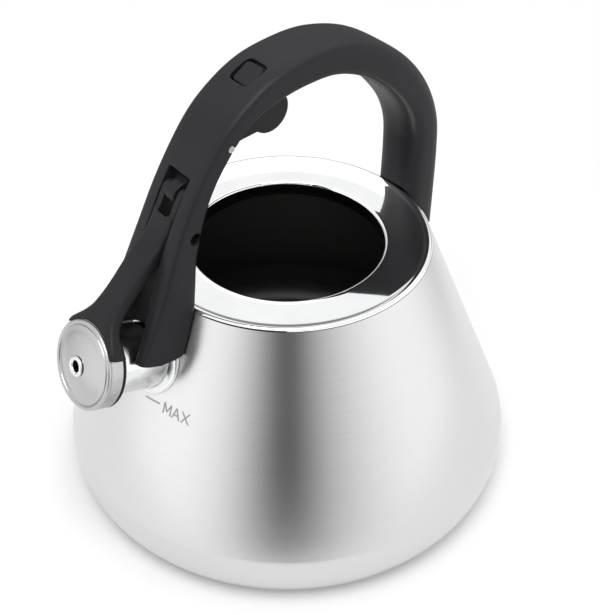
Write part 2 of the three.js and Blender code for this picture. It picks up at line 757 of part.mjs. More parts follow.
const armRun = linkPin.clone().sub(triggerPin);
const armSide = new THREE.Vector2(-armRun.y, armRun.x).normalize();
const pinRun = linkPin.clone().sub(leverPin);
const triggerRatio = Math.abs(new THREE.Vector2(pinRun.y, -pinRun.x).dot(armSide)) / armRun.length();

// Where the trigger sees the link pin once the lever is open: its slot runs there, nearly straight.
const pinEnd = swing(swing(linkPin, leverPin, leverOpen), triggerPin, triggerRatio * leverOpen);
const slotRun = [linkPin, pinEnd];
const slotHalf = linkPinR + RUN + 0.25;

// A slot of some half width along a path, with round ends.
function track(path, half) {
  const side = (sign) =>
    path.map((p, i) => {
      const run = path[Math.min(i + 1, path.length - 1)].clone().sub(path[Math.max(i - 1, 0)]).normalize();
      return new THREE.Vector2(p.x - sign * run.y * half, p.y + sign * run.x * half);
    });
  const end = (i, j) => {
    const run = path[i].clone().sub(path[j]).normalize();
    const first = Math.atan2(-run.x, run.y);
    return [1, 2, 3, 4, 5].map((k) => {
      const angle = first + (Math.PI * k) / 6;
      return new THREE.Vector2(path[i].x + half * Math.cos(angle), path[i].y + half * Math.sin(angle));
    });
  };
  const last = path.length - 1;
  return new THREE.Shape([...side(-1), ...end(last, last - 1), ...side(1).reverse(), ...end(0, 1)]);
}

function trigger() {
  const at = (x, z) => new THREE.Vector2(triggerPin.x + x, triggerPin.y + z);
  const arm = track([linkPin, at(-9.6, -15.4), at(-3.6, -7.2), triggerPin], armEyeR - 0.3);
  const eye = track(slotRun, armEyeR);
  const lever = new THREE.Shape();
  const degrees = THREE.MathUtils.degToRad;
  lever.absarc(triggerPin.x, triggerPin.y, bossR, degrees(100), degrees(265));
  lever.absarc(nose.x, nose.y, noseR, degrees(227), degrees(380));
  [at(33.2, 8.6), at(29, 9), at(22, 7.8), at(10, 4.2)].forEach((p) => lever.lineTo(...p));
  const body = add(slab(lever, triggerW), slab(arm, armW), slab(eye, armW));
  return cut(body, slab(track(slotRun, slotHalf), armW + 2), crossRod(triggerPin, triggerPinR + RUN, 20));
}

// ---------------------------------------------------------------- lock button

function lockButton() {
  const top = roundedBlock(buttonL, buttonW, -3.2, 0, 2);
  const flange = roundedBlock(buttonL + 1.4, buttonW + 2.4, -buttonT, -skin - RUN - 0.1, 1.6);
  return add(top, flange);
}

class Helix extends THREE.Curve {
  constructor(radius, low, high, turns) {
    super();
    Object.assign(this, { radius, low, high, turns });
  }

  getPoint(t, target = new THREE.Vector3()) {
    const angle = 2 * Math.PI * this.turns * t;
    const height = this.low + (this.high - this.low) * t;
    return target.set(this.radius * Math.cos(angle), this.radius * Math.sin(angle), height);
  }
}

function buttonSpring() {
  const wire = 0.3;
  const helix = new Helix(2.6, -shelfDepth + wire + 0.1, -buttonT - wire - 0.1, 3);
  return drawn(helix, wire, 36, buttonPlace);
}

// ---------------------------------------------------------------- the kettle

const kettle = new THREE.Group();
kettle.add(
  named("body_shell", bodyShell(), steel()),
  named("top_ring", topRing(), mirror()),
  named("base_capsule", baseCapsule(), steel()),
  named("heat_spreader", heatSpreader(), alu()),
  named("spout_collar", spoutCollar(), mirror()),
  named("front_bracket", frontBracket(), steel()),
  named("rear_bracket", rearBracket(), steel()),
  named("handle_shell", handleShell(), plastic()),
  named("handle_cover", handleCover(), plastic()),
  named("front_screw", placedScrew(frontScrewPlace, screwR, screwHeadR, frontScrewL), steel()),
  named("rear_screw", placedScrew(rearScrewPlace, screwR, screwHeadR, rearScrewL), steel()),
  named("lever_pin", crossRod(leverPin, leverPinR, handleW - 2 * pinBoreDeep - 2 * TOUCH), steel()),
  named("trigger_pin", crossRod(triggerPin, triggerPinR, handleW - 1.5), steel()),
  named("lever_spring", leverSpring(), steel()),
  named("spout_lever", spoutLever(), plastic()),
  named("link_pin", crossRod(linkPin, linkPinR, 13), steel()),
  named("trigger", trigger(), plastic()),
  named("lock_button", lockButton(), plastic()),
  named("button_spring", buttonSpring(), steel()),
);
coverScrewPlaces.forEach((place, i) => {
  const screw = placedScrew(place, coverScrewR, coverScrewHeadR, coverScrewL);
  kettle.add(named("cover_screw_" + (i + 1), screw, steel()));
});

const spout = new THREE.Group();
spout.applyMatrix4(toSpout);
spout.add(
  named("spout_tube", spoutTube(), mirror()),
  named("cap_shell", capShell(), steel()),
  named("cap_seal", capSeal(), silicone()),
  named("cap_screw", capScrew(), steel()),
  named("whistle_cup", whistleCup(), steel()),
  named("whistle_eyelet", whistleEyelet(), mirror()),
);
kettle.add(spout);

export default kettle;
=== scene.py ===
"""Looks for the stovetop whistling kettle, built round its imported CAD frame.

Shapes are in millimetres and become metres in mesh_object(). The origin is the middle of the
base, Z is up and the spout points towards -X.
"""

import json
import math

import bmesh
import bpy
import numpy as np
from mathutils import Matrix, Vector


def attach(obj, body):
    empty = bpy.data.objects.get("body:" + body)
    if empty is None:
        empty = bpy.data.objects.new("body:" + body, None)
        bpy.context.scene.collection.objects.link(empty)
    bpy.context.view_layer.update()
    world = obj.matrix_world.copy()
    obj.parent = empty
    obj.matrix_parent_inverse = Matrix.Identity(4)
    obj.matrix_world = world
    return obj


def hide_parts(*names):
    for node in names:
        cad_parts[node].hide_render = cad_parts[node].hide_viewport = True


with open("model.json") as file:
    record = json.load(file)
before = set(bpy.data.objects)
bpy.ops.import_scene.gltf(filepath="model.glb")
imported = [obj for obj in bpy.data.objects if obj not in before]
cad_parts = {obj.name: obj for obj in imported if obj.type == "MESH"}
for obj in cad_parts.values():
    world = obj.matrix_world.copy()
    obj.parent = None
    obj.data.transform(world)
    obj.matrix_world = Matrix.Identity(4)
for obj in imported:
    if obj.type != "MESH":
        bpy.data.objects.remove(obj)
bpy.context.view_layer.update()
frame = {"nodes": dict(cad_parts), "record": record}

MM = 0.001
TOUCH = 0.3  # gap between two pieces that meet
SKIN = 0.06  # how far a piece stays inside the frame's own surface
THROUGH = 6  # how far a cut goes past the surface it opens

# body
WALL = 0.9
BELLY_R = 110
BELLY_Z = 18
FOOT_R = 99.5
FOOT_Z = 1.6
SHOULDER_R = 66.2
SHOULDER_Z = 128.2
CONE_FLARE = 2.3  # the cone's line passes this far outside the belly
CONE_ANGLE = math.atan((BELLY_R + CONE_FLARE - SHOULDER_R) / (SHOULDER_Z - BELLY_Z))
MOUTH_R = 44.7
MOUTH_DROP = 2
NECK_LENGTH = 7
LIP_R = 1.5
LIP_STEPS = 8
CAPSULE_R = 94
CAPSULE_H = 4.8
CAPSULE_WALL = 0.9

# level mark below the spout
MARK_ANGLE = math.radians(183.6)
MARK_Z = 82.6
MARK_PROUD = 0.02
MARK_DEEP = 0.2
LETTERS_FROM = 11.6
LETTER_H = 5.4
LETTER_W = 3.9
LETTER_GAP = 1.1
STROKE_HALF = 0.36
STROKE_PARTS = 6

# spout and cap, along the spout's axis
SPOUT_TILT = math.radians(20.7)
SPOUT_ROOT_Z = 99.6
SPOUT_R = 15
SPOUT_WALL = 1.1
SPOUT_LENGTH = 27.2
SPOUT_SUNK = 3
COLLAR_R = 18.5
CAP_R = 19.6
CAP_WALL = 0.8
CAP_FRONT = 34.9
CAP_SKIRT = 7
CAP_DOME = 3.2
SEAL_LIP = 1.3
SEAL_WALL = 1
SEAL_EYE_R = 7
HOLE_R = 2.5
EYELET_R = 4.6
EYELET_RIM = 1.2  # width of the eyelet's rim that lies on the cap

# handle
HANDLE_W = 28
FOOT_W = 38
REAR_W = 27
POCKET_W = 14.2
SLOT_SKIN = 2.6
BODY_GAP = 0.5
WIDE = 60  # a cut wider than the handle
WINDOW_FROM, WINDOW_TO, SLOT_TO = 2.8, 4.24, 8.25  # stations along the handle
COVER_FROM, COVER_TO = 8.75, 11.3  # stations of the arch's cover
COVER_RIM = 0.55
COVER_T, COVER_W = 2.2, 17
SLANT_TOP = Vector((65, 129.3))  # where the rear foot starts to follow the cone
SLANT_TIP = Vector((85.8, 99.2))

# linkage, as (x, z)
LEVER_PIN = Vector((-59.4, 161.6))
LINK_PIN = Vector((-57.1, 176.2))
TRIGGER_PIN = Vector((-39.1, 195.7))
LEVER_PIN_R = 1.8
PIN_BORE_R = 2.8
PIN_BORE_DEEP = 4
LINK_PIN_R = 1.4
TRIGGER_PIN_R = 1.5
PIN_PLAY = 0.35
LINK_PLAY = 0.6
LEVER_OPEN = math.radians(22)
EAR_R, BOSS_R, EAR_GAP, EARS_W, PLATE_TOP = 3.5, 4, 7, 13.3, 8.4
ARM_HALF, ARM_W = 3.9, 5.9
ARM_EYE_HALF, ARM_EYE_W = 4.64, 5.88
NOSE_R = 9.6
NOSE = (25.2, 4.5)
TRIGGER_W = 12.6

# lock button
BUTTON_AT = Vector((-20.2, 217.2))
BUTTON_TILT = math.radians(29)
BUTTON_L = 10.2
BUTTON_W = 10.6
BUTTON_GAP = 0.8
BUTTON_REAR_GAP = 1.5
BUTTON_T = 4.2
KEY_T = 3.2
SHELF_DEPTH = 7.4
SHELF_T = 1.2


# ---------------------------------------------------------------- node materials

def new_material(name):
    """A material with its node tree, its Principled shader and its object coordinates."""
    made = bpy.data.materials.new(name)
    made.use_nodes = True
    tree = made.node_tree
    shader = tree.nodes["Principled BSDF"]
    place = tree.nodes.new("ShaderNodeTexCoord").outputs["Object"]
    return made, tree, shader, place


def noise(tree, place, stretch, detail=3.0, rough=0.6):
    """Noise in object space; stretch is cycles per metre along X, Y and Z."""
    mapping = tree.nodes.new("ShaderNodeMapping")
    mapping.inputs["Scale"].default_value = stretch
    tree.links.new(place, mapping.inputs["Vector"])
    node = tree.nodes.new("ShaderNodeTexNoise")
    node.inputs["Scale"].default_value = 1.0
    node.inputs["Detail"].default_value = detail
    node.inputs["Roughness"].default_value = rough
    tree.links.new(mapping.outputs["Vector"], node.inputs["Vector"])
    return node.outputs["Fac"]


def ramp(tree, fac, low, high, start=0.3, end=0.7):
    """Maps a value to two colours or two greys."""
    node = tree.nodes.new("ShaderNodeValToRGB")
    for element, where, value in zip(node.color_ramp.elements, (start, end), (low, high)):
        element.position = where
        grey = (value, value, value) if isinstance(value, (int, float)) else value
        element.color = (*grey, 1)
    tree.links.new(fac, node.inputs["Fac"])
    return node.outputs["Color"]


def bump(tree, shader, height, strength, distance):
    """Relief of some height in metres on a shader."""
    node = tree.nodes.new("ShaderNodeBump")
    node.inputs["Strength"].default_value = strength
    node.inputs["Distance"].default_value = distance
    tree.links.new(height, node.inputs["Height"])
    tree.links.new(node.outputs["Normal"], shader.inputs["Normal"])


def metal(name, dark, light, rough, stretch, grain):
    """Steel or aluminium: colour, roughness and relief vary along one set of fine lines.

    rough is the least and the most roughness of the lines, and what the slow cloud adds.
    """
    made, tree, shader, place = new_material(name)
    shader.inputs["Metallic"].default_value = 1.0
    lines = noise(tree, place, stretch)
    cloud = noise(tree, place, (9, 9, 9), 2.0)
    tree.links.new(ramp(tree, lines, dark, light), shader.inputs["Base Color"])
    mix = tree.nodes.new("ShaderNodeMath")
    mix.operation = "ADD"
    tree.links.new(ramp(tree, lines, rough[0], rough[1]), mix.inputs[0])
    tree.links.new(ramp(tree, cloud, 0.0, rough[2]), mix.inputs[1])
    tree.links.new(mix.outputs["Value"], shader.inputs["Roughness"])
    if grain:
        bump(tree, shader, lines, grain, 0.0001)
    return made


def plastic(name, dark, light, rough, grain):
    """Soft-touch moulding: a fine spark-eroded grain and slow changes of tone and sheen."""
    made, tree, shader, place = new_material(name)
    cloud = noise(tree, place, (35, 35, 35), 4.0)
    fine = noise(tree, place, (2600, 2600, 2600), 2.0)
    shader.inputs["Specular IOR Level"].default_value = 0.2
    tree.links.new(ramp(tree, cloud, dark, light), shader.inputs["Base Color"])
    tree.links.new(ramp(tree, fine, rough[0], rough[1]), shader.inputs["Roughness"])
    bump(tree, shader, fine, grain, 0.00005)
    return made


ROUND_LINES = (1.2, 1.2, 2400)  # rings about the body's axis
brushed = metal(
    "brushed_steel", (0.63, 0.632, 0.635), (0.68, 0.68, 0.68), (0.2, 0.24, 0.03), ROUND_LINES, 0.006)
mirror = metal(
    "mirror_steel", (0.88, 0.89, 0.9), (0.93, 0.935, 0.94), (0.02, 0.05, 0.03), (60, 60, 60), 0)
satin = metal(
    "cap_satin", (0.46, 0.46, 0.458), (0.49, 0.49, 0.488), (0.24, 0.27, 0.02), (3500, 3500, 3500), 0)
bright = metal(
    "bright_steel", (0.72, 0.73, 0.74), (0.86, 0.86, 0.86), (0.1, 0.18, 0.05), (160, 160, 160), 0)
# Inside of the body: the same steel given a far darker colour, painted shade for the dim hollow seen
# through the mouth.
inside_shade = metal(
    "inside_steel_painted_shade", (0.12, 0.118, 0.116), (0.16, 0.158, 0.155), (0.42, 0.55, 0.08), ROUND_LINES, 0.1)
capsule = metal(
    "capsule_steel", (0.5, 0.5, 0.51), (0.62, 0.62, 0.62), (0.26, 0.36, 0.05), ROUND_LINES, 0.1)
dull = metal(
    "hardware_steel", (0.36, 0.36, 0.37), (0.52, 0.52, 0.53), (0.25, 0.42, 0.06), (400, 400, 400), 0.05)
cast = metal(
    "aluminium", (0.5, 0.51, 0.52), (0.66, 0.66, 0.67), (0.36, 0.5, 0.05), (500, 500, 500), 0.1)
charcoal = plastic(
    "handle_charcoal", (0.011, 0.0113, 0.013), (0.0145, 0.0148, 0.017), (0.42, 0.5), 0.1)
lever_black = plastic(
    "lever_charcoal", (0.0095, 0.0098, 0.0112), (0.0125, 0.0128, 0.0144), (0.42, 0.5), 0.1)
rubber = plastic("silicone", (0.008, 0.008, 0.009), (0.016, 0.016, 0.018), (0.5, 0.68), 0.2)


def etched():
    """Laser-etched marking: a little darker and rougher than the steel round it."""
    made, tree, shader, place = new_material("etched_mark")
    specks = noise(tree, place, (2200, 2200, 2200), 2.0)
    shader.inputs["Metallic"].default_value = 0.8
    tree.links.new(ramp(tree, specks, (0.3, 0.3, 0.3), (0.42, 0.42, 0.42)), shader.inputs["Base Color"])
    tree.links.new(ramp(tree, specks, 0.5, 0.66), shader.inputs["Roughness"])
    return made


# ---------------------------------------------------------------- meshes

def mesh_object(name, points, faces, materials, marks=None):
    """An object from points in millimetres; marks gives each face's material."""
    mesh = bpy.data.meshes.new(name)
    mesh.from_pydata([Vector(p) * MM for p in points], [], faces)
    for item in materials:
        mesh.materials.append(item)
    if marks:
        mesh.polygons.foreach_set("material_index", marks)
    work = bmesh.new()
    work.from_mesh(mesh)
    bmesh.ops.remove_doubles(work, verts=work.verts, dist=1e-7)
    bmesh.ops.dissolve_degenerate(work, dist=1e-8, edges=work.edges)
    bmesh.ops.recalc_face_normals(work, faces=work.faces)
    work.to_mesh(mesh)
    work.free()
    made = bpy.data.objects.new(name, mesh)
    bpy.context.scene.collection.objects.link(made)
    return made


def smooth(made, angle=32):
    """Smooth shading, with edges sharper than an angle in degrees kept."""
    made.data.polygons.foreach_set("use_smooth", [True] * len(made.data.polygons))
    made.data.set_sharp_from_angle(angle=math.radians(angle))
    return made


def soften(points, radius, steps=4, sharper_than=math.radians(20)):
    """Rounds the corners of an open line of (r, z) points."""
    kept = [points[0]]
    for before, here, after in zip(points, points[1:], points[2:]):
        a, b, c = Vector(before), Vector(here), Vector(after)
        if (b - a).angle(c - b, 0.0) < sharper_than:
            kept.append(here)
            continue
        reach = min(radius, 0.45 * (b - a).length, 0.45 * (c - b).length)
        start = b + (a - b).normalized() * reach
        end = b + (c - b).normalized() * reach
        for i in range(steps + 1):
            t = i / steps
            kept.append(tuple(start * (1 - t) ** 2 + b * (2 * t * (1 - t)) + end * t ** 2))
    kept.append(points[-1])
    return kept


def turned(name, profile, materials, segments=192, place=None, inner_from=None, inner_to=None):
    """Turns an (r, z) line about Z; the stretch between two point numbers takes the second material."""
    points, faces, marks = [], [], []
    for k in range(segments):
        angle = 2 * math.pi * k / segments
        for r, z in profile:
            points.append((r * math.cos(angle), r * math.sin(angle), z))
    count = len(profile)
    for k in range(segments):
        here, there = k * count, ((k + 1) % segments) * count
        for i in range(count - 1):
            faces.append((here + i, there + i, there + i + 1, here + i + 1))
            marks.append(1 if inner_from is not None and inner_from <= i < inner_to else 0)
    if place is not None:
        points = [place @ Vector(p) for p in points]
    return smooth(mesh_object(name, points, faces, materials, marks))


def loft(rings):
    """Points and faces of rings skinned in order, with both ends closed."""
    count = len(rings[0])
    points = [p for one in rings for p in one]
    faces = []
    for k in range(len(rings) - 1):
        for i in range(count):
            a, b = k * count + i, k * count + (i + 1) % count
            faces.append((a, b, b + count, a + count))
    faces.append(tuple(range(count))[::-1])
    faces.append(tuple(range((len(rings) - 1) * count, len(rings) * count)))
    return points, faces


def spline(stations, t):
    """The same running curve through the stations as the frame's own."""
    stations = np.asarray(stations, float)
    last = len(stations) - 1
    along = t * last
    i = min(int(along), last - 1) if t < 1 else last - 1
    w = along - i
    p0, p1 = stations[max(i - 1, 0)], stations[i]
    p2, p3 = stations[i + 1], stations[min(i + 2, last)]
    v0, v1 = (p2 - p0) / 2, (p3 - p1) / 2
    return (2 * p1 - 2 * p2 + v0 + v1) * w ** 3 + (3 * p2 - 3 * p1 - 2 * v0 - v1) * w ** 2 + v0 * w + p1


def bulge(value, power):
    """A cosine or sine pushed outwards: power 2 gives a circle, more gives a squarer section."""
    return math.copysign(abs(value) ** (2 / power), value)


def bar(name, stations, steps, around, material):
    """A bar of super-elliptic sections.

    Each station is outer x, z, inner x, z, half width and squareness.
    """
    rings = []
    for k in range(steps + 1):
        ox, oz, ix, iz, half, power = spline(stations, k / steps)
        section = []
        for i in range(around):
            turn = 2 * math.pi * (i + 0.5) / around
            across = (half - SKIN) * bulge(math.cos(turn), power)
            deep = 0.5 + 0.497 * bulge(math.sin(turn), power)
            section.append((ix + (ox - ix) * deep, across, iz + (oz - iz) * deep))
        rings.append(section)
    points, faces = loft(rings)
    return mesh_object(name, points, faces, [material])


def slab(outline, width, middle=0.0):
    """A cutter or block: an (x, z) outline given thickness along Y."""
    near = [(x, middle - width / 2, z) for x, z in outline]
    far = [(x, middle + width / 2, z) for x, z in outline]
    points, faces = loft([near, far])
    return mesh_object("cutter", points, faces, [])


def rod(radius, low, high, place, around=64):
    """A cutter: a rod about the Z axis of a place."""
    turns = [2 * math.pi * i / around for i in range(around)]
    circle = [(radius * math.cos(t), radius * math.sin(t)) for t in turns]
    points, faces = loft([[place @ Vector((x, y, z)) for x, y in circle] for z in (low, high)])
    return mesh_object("cutter", points, faces, [])


def across(at):
    """The place of something that lies along Y through a point (x, z)."""
    return Matrix.Translation((at[0], 0, at[1])) @ Matrix.Rotation(math.pi / 2, 4, "X")


def arc(centre, radius, start, end, steps=14):
    """Points of an arc from a start to an end in degrees."""
    turns = [math.radians(start + (end - start) * i / steps) for i in range(steps + 1)]
    return [(centre[0] + radius * math.cos(t), centre[1] + radius * math.sin(t)) for t in turns]


def shaped(made):
    """Applies an object's modifiers to its mesh."""
    graph = bpy.context.evaluated_depsgraph_get()
    done = bpy.data.meshes.new_from_object(made.evaluated_get(graph))
    made.modifiers.clear()
    made.data = done
    return made


def combine(made, others, operation):
    """Works other blocks into one, in order, and removes them."""
    for other in others:
        step = made.modifiers.new("step", "BOOLEAN")
        step.operation = operation
        step.solver = "EXACT"
        step.object = other
        shaped(made)
        bpy.data.objects.remove(other)
    return made


def carve(made, *cutters):
    return combine(made, cutters, "DIFFERENCE")


def join(made, *others):
    return combine(made, others, "UNION")


def moulded(made, grain, passes, material):
    """Gives a carved block the small even roundings of a moulding."""
    step = made.modifiers.new("grain", "REMESH")
    step.mode = "VOXEL"
    step.voxel_size = grain * MM
    ease = made.modifiers.new("ease", "SMOOTH")
    ease.factor = 0.5
    ease.iterations = passes
    shaped(made)
    made.data.materials.clear()
    made.data.materials.append(material)
    made.data.polygons.foreach_set("use_smooth", [True] * len(made.data.polygons))
    return made


def stands_for(made, body, slot, *nodes):
    """Gives a piece its body and hides the CAD nodes it takes the place of; the slot is not used."""
    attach(made, body)
    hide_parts(*nodes)
    return made


# ---------------------------------------------------------------- body

def cone_r(z):
    """Radius of the cone's outside at a height."""
    return SHOULDER_R + math.tan(CONE_ANGLE) * (SHOULDER_Z - z)


BELLY_IN = BELLY_R - FOOT_R
REACH = cone_r(0) - FOOT_R - math.tan(CONE_ANGLE) * BELLY_Z
BELLY_RISE = math.sqrt(REACH ** 2 - BELLY_IN ** 2) / math.tan(CONE_ANGLE)
TANGENT_AT = math.atan(math.tan(CONE_ANGLE) * BELLY_RISE / BELLY_IN)


def body_side(grow, top_z, lower=20, upper=14, straight=12):
    """The body's side from the foot up, as (r, z): two elliptic quarters, then the cone."""
    turns_below = [-math.pi / 2 * (1 - i / lower) for i in range(lower + 1)]
    turns_above = [TANGENT_AT * i / upper for i in range(1, upper + 1)]
    side = []
    for turns, height in ((turns_below, BELLY_Z - FOOT_Z), (turns_above, BELLY_RISE)):
        for t in turns:
            r = FOOT_R + (BELLY_IN + grow) * math.cos(t)
            side.append((r, BELLY_Z + (height + grow) * math.sin(t)))
    r0, z0 = side[-1]
    r1 = cone_r(top_z) + grow / math.cos(CONE_ANGLE)
    for i in range(1, straight + 1):
        side.append((r0 + (r1 - r0) * i / straight, z0 + (top_z - z0) * i / straight))
    return side


ROOT_R = cone_r(SPOUT_ROOT_Z)
TO_SPOUT = (Matrix.Translation((-ROOT_R, 0, SPOUT_ROOT_Z))
            @ Matrix.Rotation(SPOUT_TILT - math.pi / 2, 4, "Y"))


def body_shell():
    """Double-skinned steel body with a recess for the capsule and a hole for the spout."""
    top = SHOULDER_Z - WALL - TOUCH
    recess = CAPSULE_R + 2 * TOUCH
    floor = CAPSULE_H + TOUCH
    outside = body_side(-SKIN, top)
    within = body_side(-WALL, top)[::-1]
    under = [(0, floor), (recess, floor), (recess, FOOT_Z)]
    floor_r = recess + WALL
    floor_top = [(floor_r, FOOT_Z + WALL), (floor_r, floor + WALL), (0, floor + WALL)]
    profile = under + outside + within + floor_top
    first = len(under) + len(outside) - 1
    # The inner wall and the inside floor take the darkened steel, which is painted shade.
    made = turned("steel_body", profile, [brushed, inside_shade], 256,
                  inner_from=first, inner_to=len(profile))
    return carve(made, rod(SPOUT_R + TOUCH, -12, 4, TO_SPOUT))


def top_ring():
    """Polished ring that dips from a rounded edge to the rolled lip and neck of the mouth."""
    lip_z = SHOULDER_Z - MOUTH_DROP
    span = SHOULDER_R - MOUTH_R - LIP_R
    edge_r, edge_flat, dip_steps = 1.5, 0.62, 12
    high_r, high_z = SHOULDER_R - SKIN, SHOULDER_Z - SKIN
    top = []
    for degrees in range(80, -1, -10):
        t = math.radians(degrees)
        top.append((high_r - edge_r * (1 - math.sin(t)), high_z - edge_r * (1 - math.cos(t)) * edge_flat))
    for i in range(1, dip_steps + 1):
        u = edge_r / span + (1 - edge_r / span) * i / dip_steps
        top.append((high_r - span * u, high_z - MOUTH_DROP * (1 - (1 - u) ** 2)))
    roll, back = [], []
    thin = LIP_R - WALL
    for i in range(1, LIP_STEPS + 1):
        t = math.pi / 2 * i / LIP_STEPS
        roll.append((MOUTH_R + LIP_R * (1 - math.sin(t)), lip_z - LIP_R * (1 - math.cos(t))))
        back.append((MOUTH_R + LIP_R - thin * math.sin(t), lip_z - LIP_R + thin * math.cos(t)))
    low = lip_z - NECK_LENGTH
    under = [(r, z - WALL) for r, z in top if r < SHOULDER_R - 1.2 * edge_r][::-1]
    edge = [(cone_r(SHOULDER_Z - WALL) - SKIN, SHOULDER_Z - WALL)]
    line = edge + top + roll + [(MOUTH_R, low), (MOUTH_R + WALL, low)] + back[::-1] + under + edge
    return turned("mirror_ring", line, [mirror], 256)


def base_capsule():
    """Shallow steel cup that holds the heat spreader under the floor."""
    edge, low = 1.2, 0.02
    outer, inner = CAPSULE_R - SKIN, CAPSULE_R - CAPSULE_WALL
    line = [(0, low), (CAPSULE_R - edge, low), (outer, edge), (outer, CAPSULE_H),
            (inner, CAPSULE_H), (inner, CAPSULE_WALL), (0, CAPSULE_WALL)]
    return turned("base_cup", soften(line, 0.5), [capsule])


TICK = [(0, -0.8), (8.9, 0.4)]
LETTERS = [  # strokes of each capital, as shares of its width and height
    [[(0, 0), (0, 1), (0.5, 0.25), (1, 1), (1, 0)]],
    [[(0, 0), (0.5, 1), (1, 0)], [(0.2, 0.36), (0.8, 0.36)]],
    [[(0, 0), (1, 1)], [(0, 1), (1, 0)]],
]
PLATE_FACES = [(0, 1, 2, 3), (7, 6, 5, 4), (0, 4, 5, 1), (1, 5, 6, 2), (2, 6, 7, 3), (3, 7, 4, 0)]


def mark_strokes():
    """The tick and the capitals, as lines of (along, up) points."""
    strokes = [TICK]
    for k, letter in enumerate(LETTERS):
        x = LETTERS_FROM + k * (LETTER_W + LETTER_GAP)
        for line in letter:
            strokes.append([(x + LETTER_W * a, LETTER_H * (b - 0.5)) for a, b in line])
    return strokes


def on_cone(along, up, out):
    """A point of the level mark, some height off the steel."""
    z = MARK_Z + up * math.cos(CONE_ANGLE)
    r = cone_r(z) + out
    angle = MARK_ANGLE + along / cone_r(MARK_Z)
    return (r * math.cos(angle), r * math.sin(angle), z)


def level_mark():
    """A short tick and plain capitals etched below the spout: thin plates let into the steel."""
    points, faces = [], []
    for line in mark_strokes():
        for a, b in zip(line, line[1:]):
            a, b = Vector(a), Vector(b)
            run = (b - a).normalized()
            side = Vector((-run.y, run.x)) * STROKE_HALF
            for i in range(STROKE_PARTS):
                p, q = a.lerp(b, i / STROKE_PARTS), a.lerp(b, (i + 1) / STROKE_PARTS)
                corners = (p + side, q + side, q - side, p - side)
                faces += [tuple(len(points) + k for k in face) for face in PLATE_FACES]
                points += [on_cone(c.x, c.y, out) for out in (MARK_PROUD, -MARK_DEEP) for c in corners]
    return mesh_object("level_mark", points, faces, [etched()])


stands_for(body_shell(), "kettle", "brushed_steel", "body_shell")
stands_for(top_ring(), "kettle", "polished_steel", "top_ring")
stands_for(base_capsule(), "kettle", "capsule_steel", "base_capsule")
mark = level_mark()
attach(mark, "kettle")


# ---------------------------------------------------------------- spout

def spout_tube():
    inner, outer = SPOUT_R - SPOUT_WALL, SPOUT_R - SKIN
    line = [(inner, -SPOUT_SUNK), (outer, -SPOUT_SUNK), (outer, SPOUT_LENGTH),
            (inner, SPOUT_LENGTH), (inner, -SPOUT_SUNK)]
    return turned("spout_pipe", soften(line, 0.4), [bright], 128, TO_SPOUT)


def meets_cone(radius, turn, steps=12):
    """How far along the spout's axis a line beside it runs into the cone."""
    s = 0.0
    for _ in range(steps):
        p = TO_SPOUT @ Vector((radius * math.cos(turn), radius * math.sin(turn), s))
        off = math.hypot(p.x, p.y) - cone_r(p.z)
        s -= off / (math.cos(SPOUT_TILT) + math.tan(CONE_ANGLE) * math.sin(SPOUT_TILT))
    return s


def spout_collar():
    """Flare from the tube down to a thin rolled bead that lies on the cone."""
    section = [(SPOUT_R + 0.02, 2.4), (SPOUT_R + 0.5, 1.9), (SPOUT_R + 1.2, 1.3), (SPOUT_R + 2.1, 0.9),
               (SPOUT_R + 2.5, 0.85), (SPOUT_R + 2.8, 1.15), (SPOUT_R + 3.15, 1.2), (COLLAR_R - 0.12, 0.95),
               (COLLAR_R - 0.02, 0.5), (COLLAR_R - 0.1, 0.05), (SPOUT_R + 0.02, 0.05)]
    around = 160
    rings = []
    for k in range(around + 1):
        t = 2 * math.pi * k / around
        rings.append([TO_SPOUT @ Vector((r * math.cos(t), r * math.sin(t), meets_cone(r, t) + h))
                      for r, h in section])
    points, faces = loft(rings)
    return smooth(mesh_object("spout_flange", points, faces[:-2], [bright]), 50)


stands_for(spout_tube(), "kettle", "polished_steel", "spout_tube")
stands_for(spout_collar(), "kettle", "polished_steel", "spout_collar")


# ---------------------------------------------------------------- cap and whistle

def cap_shell():
    """Domed cap: a skirt with a fine groove, a rolled bead, a shallow dish and the dome."""
    back = CAP_FRONT - CAP_SKIRT
    bore = CAP_R - CAP_WALL
    edge = CAP_R - SKIN
    hole = EYELET_R - EYELET_RIM
    rise, lift, dome_steps = CAP_DOME - 0.35, 0.15, 16
    dish_r, dish_w, dish_deep = 15.4, 1.2, 0.25
    skirt = [(bore, back), (edge - 0.1, back), (edge, back + 0.1), (edge, CAP_FRONT - 1.35),
             (edge - 0.28, CAP_FRONT - 1.2), (edge - 0.28, CAP_FRONT - 1.05), (edge, CAP_FRONT - 0.9)]
    bead = [(edge, CAP_FRONT - 0.3), (edge - 0.12, CAP_FRONT + 0.12), (edge - 0.45, CAP_FRONT + 0.42),
            (edge - 0.9, CAP_FRONT + 0.55), (edge - 1.4, CAP_FRONT + 0.5), (edge - 1.85, CAP_FRONT + 0.2),
            (edge - 2.05, CAP_FRONT - 0.15), (edge - 2.35, CAP_FRONT - 0.25)]
    dome = []
    outer = edge - 2.6
    for i in range(dome_steps):
        r = outer + (hole - outer) * i / dome_steps
        dish = dish_deep * math.exp(-((r - dish_r) / dish_w) ** 2)
        dome.append((r, CAP_FRONT + lift + rise * (1 - (r / outer) ** 2) - dish))
    dome.append((hole, CAP_FRONT + rise))
    under = [(min(r, bore), z - CAP_WALL) for r, z in dome][::-1]
    return turned("cap_dome", skirt + bead + dome + under + [(bore, back)], [satin], 160, TO_SPOUT)


